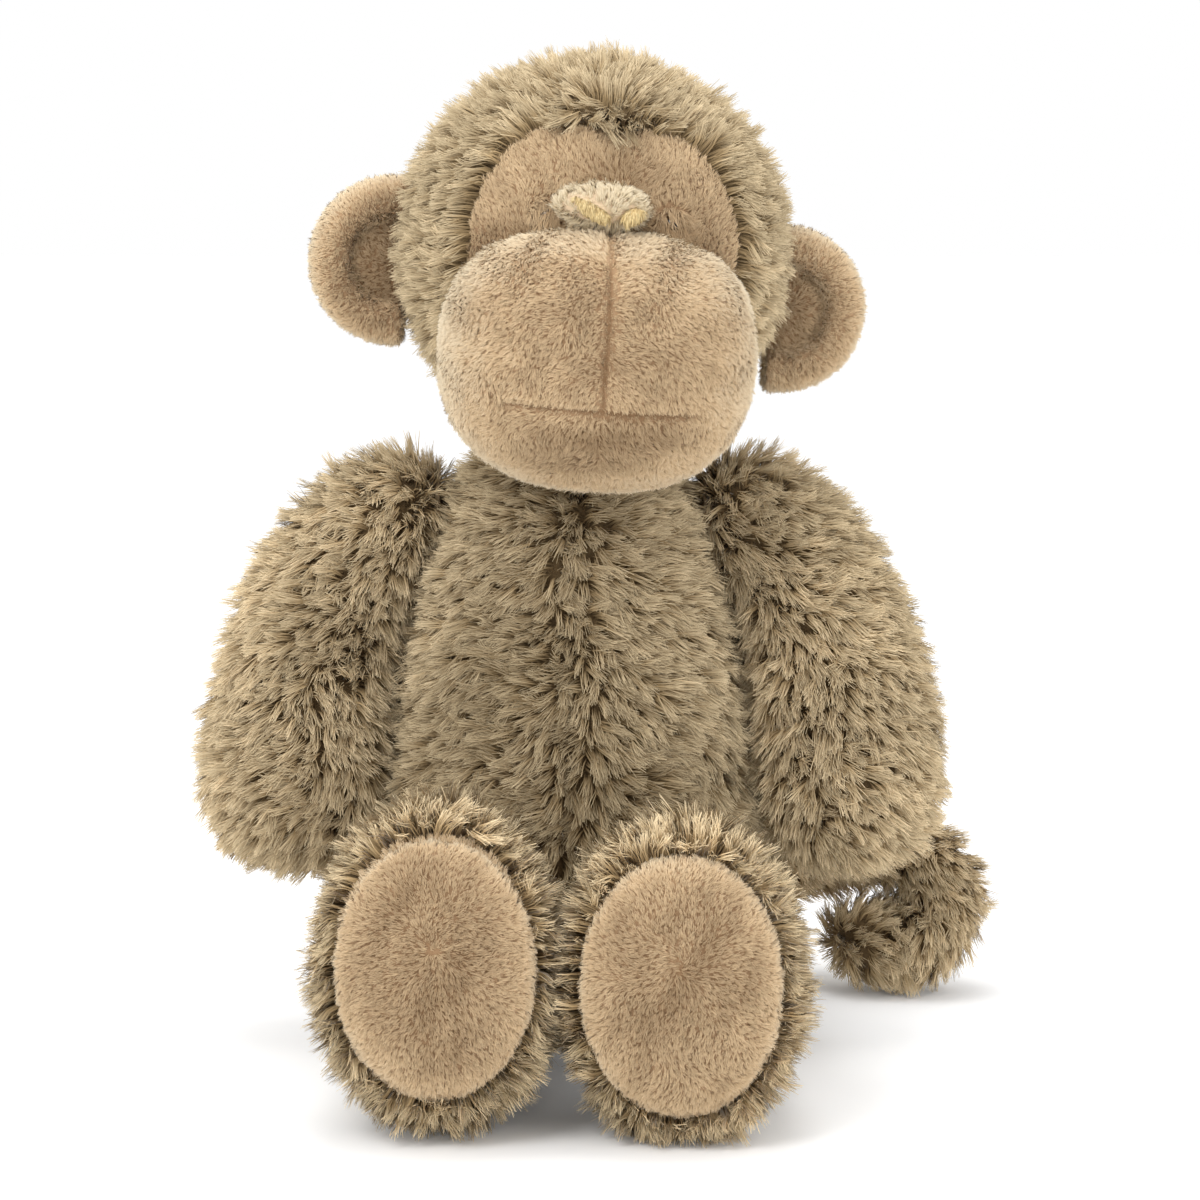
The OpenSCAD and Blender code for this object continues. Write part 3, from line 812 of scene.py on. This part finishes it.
def short_style(lie, length=1.7 * MM):
    return {
        "lie": lie, "length": length, "clump": 0.85 * MM, "strands": 8, "stray": 0.25, "sunk": 0.3 * MM,
        "gather": 0.4, "rise": 0.6, "width": 0.22 * MM, "round": 0.3, "rough": 0.1, "mottle": 0.05,
        "material": SHORT_PILE,
    }


def nose_style():
    return dict(
        short_style(nose_lie, 2.3 * MM), clump=0.9 * MM, strands=9, gather=0.5, rough=0.2, mottle=0.1,
        material=NOSE_PILE,
    )


def satin_style():
    return dict(
        short_style(satin_lie, 2 * MM), clump=0.5 * MM, strands=2, gather=0, stray=0.03, sunk=0.05 * MM,
        rise=0.1, width=0.34 * MM, rough=0.3, mottle=0.25, material=SATIN_STRAND,
    )


# ------------------------------------------------------------------ the monkey

def long_part(name, panels, core, sizes, held, seams, lie, length):
    """A long pile part. sizes are the voxel of its cover and how far the cloth may move."""
    voxel, cap = sizes
    return {
        "name": name, "body": name, "panels": panels, "core": core, "voxel": voxel, "cap": cap,
        "smoothing": 8, "pressure": 3.0, "held": held, "seams": seams, "groove": 1.5 * MM,
        "styles": {panel: long_style(lie, length) for panel in panels}, "slot": "long_pile",
    }


def short_part(name, body, panels, core, sizes, held, seams, lies):
    """A short pile part. sizes are the voxel of its cover and how far the cloth may move."""
    voxel, cap = sizes
    return {
        "name": name, "body": body, "panels": panels, "core": core, "voxel": voxel, "cap": cap,
        "smoothing": 4, "pressure": 4.0, "held": held, "seams": seams, "groove": 1.1 * MM,
        "styles": {panel: short_style(lie) for panel, lie in zip(panels, lies)}, "slot": "short_pile",
    }


def torso_part():
    panels = TORSO_PANELS + ["torso_base"]
    return long_part("torso", panels, "torso_stuffing", (3.2 * MM, 3 * MM), torso_held, torso_seams,
                     torso_lie, 8.8 * MM)


def tail_part():
    return long_part("tail", ["tail_upper", "tail_under"], "tail_stuffing", (2.2 * MM, 1.5 * MM), tail_held,
                     no_seams, tail_lie, 8 * MM)


def arm_part(name, side):
    panels = [f"arm_{name}_front", f"arm_{name}_back"]
    return long_part(f"arm_{name}", panels, f"arm_{name}_stuffing", (2.8 * MM, 2.5 * MM), arm_held,
                     arm_seams, arm_lie(side), 8.6 * MM)


def leg_part(name):
    panels = [f"leg_{name}_inner", f"leg_{name}_outer", f"sole_{name}"]
    part = long_part(f"leg_{name}", panels, f"leg_{name}_stuffing", (2.6 * MM, 2.5 * MM), leg_held,
                     leg_seams, leg_lie, 9 * MM)
    part["styles"][f"sole_{name}"] = short_style(sole_lie(f"sole_{name}"))
    return part


def head_part():
    panels = ["head_left", "head_right", "head_gusset", "face_mask"]
    part = long_part("head", panels, "head_stuffing", (2.6 * MM, 1.5 * MM), head_held, no_seams,
                     head_lie, 7.6 * MM)
    part["styles"]["face_mask"] = short_style(mask_lie)
    return part


def muzzle_part():
    panels = ["muzzle_upper_left", "muzzle_upper_right", "muzzle_lower"]
    return short_part("muzzle", "head", panels, "muzzle_stuffing", (1.8 * MM, 2 * MM), muzzle_held,
                      muzzle_seams, [muzzle_lie] * 3)


def ear_part(name):
    panels = [f"ear_{name}_front", f"ear_{name}_back"]
    return short_part(f"ear_{name}", f"ear_{name}", panels, f"ear_{name}_wadding", (1.2 * MM, 0.6 * MM),
                      ear_held, no_seams, [ear_lie(panels[0])] * 2)


def is_short(style):
    return style["material"] is SHORT_PILE


def make_cover(part):
    node_names = part["panels"] + [part["core"]]
    part["obj"] = cover_from(f"{part['name']}_cover", node_names, part["voxel"], part["smoothing"])


def dress(part):
    """Finishes the cover of one stuffed part and grows the pile of each of its panels."""
    cover = refined(part["obj"], part["seams"], part["groove"])
    cover.data.materials.clear()
    cover.data.materials.append(UNDERPILE)
    cover.data.materials.append(SHORT_BASE)
    short = np.array([is_short(part["styles"][panel]) for panel in part["panels"]])
    owner = nearest_node(cover, part["panels"], short * 1.3 * MM)
    cover.data.polygons.foreach_set("material_index", short[owner].astype(np.int32))
    tone = np.full(len(cover.data.vertices), 0.3)
    co, no = coordinates(cover.data), vertex_normals(cover.data)
    for index, panel in enumerate(part["panels"]):
        style = part["styles"][panel]
        mask = owner == index
        if is_short(style):
            corners = np.unique(triangles_of(cover.data, mask))
            tone[corners] = style["lie"](co[corners], no[corners])[3] - 0.1
        pile = grow(f"{panel}_pile", cover, mask, style, 100 + index)
        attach(pile, part["body"])
        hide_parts(panel)
    set_tone(cover, tone)
    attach(cover, part["body"])
    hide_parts(*part["panels"])


def set_tone(cover, values):
    tone = cover.data.attributes.new("tone", "FLOAT", "POINT")
    tone.data.foreach_set("value", np.clip(values, 0, 1).astype(np.float32))


def dress_nose():
    cover = bpy.data.objects.new("nose_cover", nodes["nose_patch"].data.copy())
    scene.collection.objects.link(cover)
    set_tone(cover, np.full(len(cover.data.vertices), 0.9))
    paint(cover, SHORT_BASE)
    pile = grow("nose_pile", cover, np.ones(len(cover.data.polygons), bool), nose_style(), 301)
    for piece in (cover, pile):
        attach(piece, "head")
        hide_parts("nose_patch")


def stitch_nostrils():
    for number, node in enumerate(("nostril_left", "nostril_right")):
        every_face = np.ones(len(nodes[node].data.polygons), bool)
        threads = grow(f"{node}_threads", nodes[node], every_face, satin_style(), 311 + number)
        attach(threads, "head")


def paint_inner_pieces():
    """Gives every CAD node that no cover stands for its own material."""
    finishes = {
        "fibre": FIBRE, "pouch_cloth": POUCH, "pellets": PELLETS, "washer_plastic": WASHER,
        "eye_plastic": EYE, "sewing_thread": THREAD, "satin_thread": SATIN,
    }
    for row in frame["record"]["subparts"]:
        if row["material_slot"] in finishes:
            paint(nodes[row["node"]], finishes[row["material_slot"]])


# ------------------------------------------------------------------ studio

def make_floor():
    size = 6.0
    floor = mesh_object("floor", [(-size, -size, 0), (size, -size, 0), (size, size, 0), (-size, size, 0)],
                        [(0, 1, 2, 3)])
    material, _, shader = new_material("floor")
    shader.inputs["Base Color"].default_value = (0.97, 0.97, 0.97, 1)
    shader.inputs["Roughness"].default_value = 0.9
    shader.inputs["Emission Color"].default_value = (1, 1, 1, 1)
    shader.inputs["Emission Strength"].default_value = 0.06
    paint(floor, material)


def area_light(name, place, target, size, power):
    light = bpy.data.lights.new(name, "AREA")
    light.shape = "DISK"
    light.size = size
    light.energy = power
    obj = bpy.data.objects.new(name, light)
    obj.location = place
    obj.rotation_euler = (Vector(target) - Vector(place)).to_track_quat("-Z", "Y").to_euler()
    scene.collection.objects.link(obj)


def make_studio():
    world = bpy.data.worlds.new("studio")
    world.use_nodes = True
    world.node_tree.nodes["Background"].inputs["Color"].default_value = (1, 1, 1, 1)
    world.node_tree.nodes["Background"].inputs["Strength"].default_value = 1.0
    scene.world = world
    target = (0, 0, 0.13)
    area_light("key", (-0.6, -1.0, 1.1), target, 0.7, 8.5)
    area_light("fill", (0.9, -1.0, 0.6), target, 0.9, 3.5)
    area_light("top", (0.0, 0.1, 1.5), target, 0.8, 6)
    scene.view_settings.view_transform = "Standard"


def make_camera():
    """A long lens just above the toy's waist, looking slightly down."""
    aim = Vector((8 * MM, 0, 123.5 * MM))
    distance, elevation = 1.15, math.radians(7)
    camera = bpy.data.objects.new("camera", bpy.data.cameras.new("camera"))
    camera.location = aim + distance * Vector((0, -math.cos(elevation), math.sin(elevation)))
    camera.rotation_euler = (aim - camera.location).to_track_quat("-Z", "Y").to_euler()
    camera.data.lens = 120.75
    camera.data.sensor_width = 36
    scene.collection.objects.link(camera)
    scene.camera = camera


make_camera()
make_studio()
make_floor()
parts = [torso_part(), tail_part(), head_part(), muzzle_part(), ear_part("left"), ear_part("right")]
parts += [arm_part("left", 1), arm_part("right", -1), leg_part("left"), leg_part("right")]
for part in parts:
    make_cover(part)
inflate_all(parts)
for part in parts:
    dress(part)
dress_nose()
stitch_nostrils()
paint_inner_pieces()
